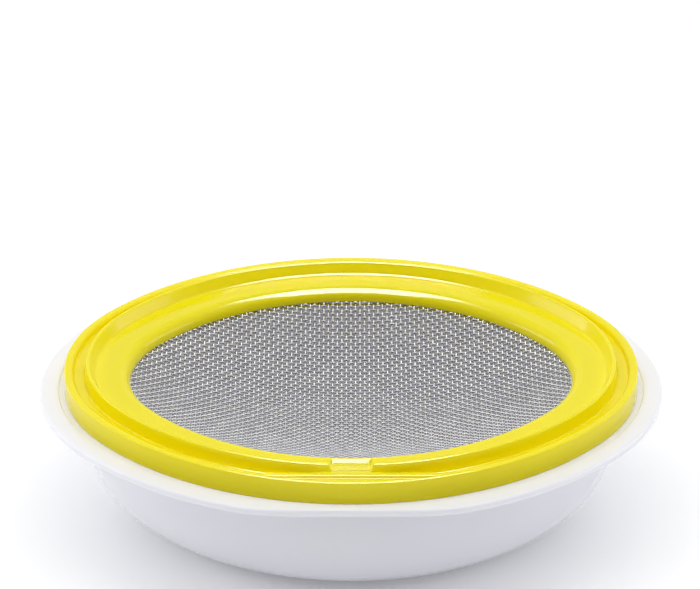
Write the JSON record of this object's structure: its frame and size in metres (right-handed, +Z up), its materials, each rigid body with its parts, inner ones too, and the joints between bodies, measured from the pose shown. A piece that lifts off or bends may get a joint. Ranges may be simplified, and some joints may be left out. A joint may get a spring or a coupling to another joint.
{
  "type": "oval sieve with catch bowl",
  "caption": "Oval plastic ring with a dished woven wire cloth, seated on a white flanged catch bowl that it lifts off.",
  "frame": {"origin": "centre of the catch bowl's flat base", "axes": "+X along the oval's length, -Y to the front with the thumb ledge, +Z up"},
  "size_m": [0.2656, 0.2207, 0.0724],
  "materials": {
    "white_plastic": "glossy white moulded plastic, slightly cool",
    "yellow_plastic": "glossy lemon yellow moulded plastic",
    "band_steel": "plain stainless strip",
    "wire_steel": "bright drawn stainless wire, plain weave"
  },
  "bodies": {
    "bowl": {"catch_bowl": "white_plastic"},
    "sieve": {"sieve_ring": "yellow_plastic", "retaining_ring": "yellow_plastic", "mesh_edge_band": "band_steel", "mesh_dish": "wire_steel"}
  },
  "joints": [
    {"name": "sieve_lift", "type": "slide", "parent": "bowl", "child": "sieve", "axis": [0, 0, 1], "range_m": [0, 0.061]}
  ]
}
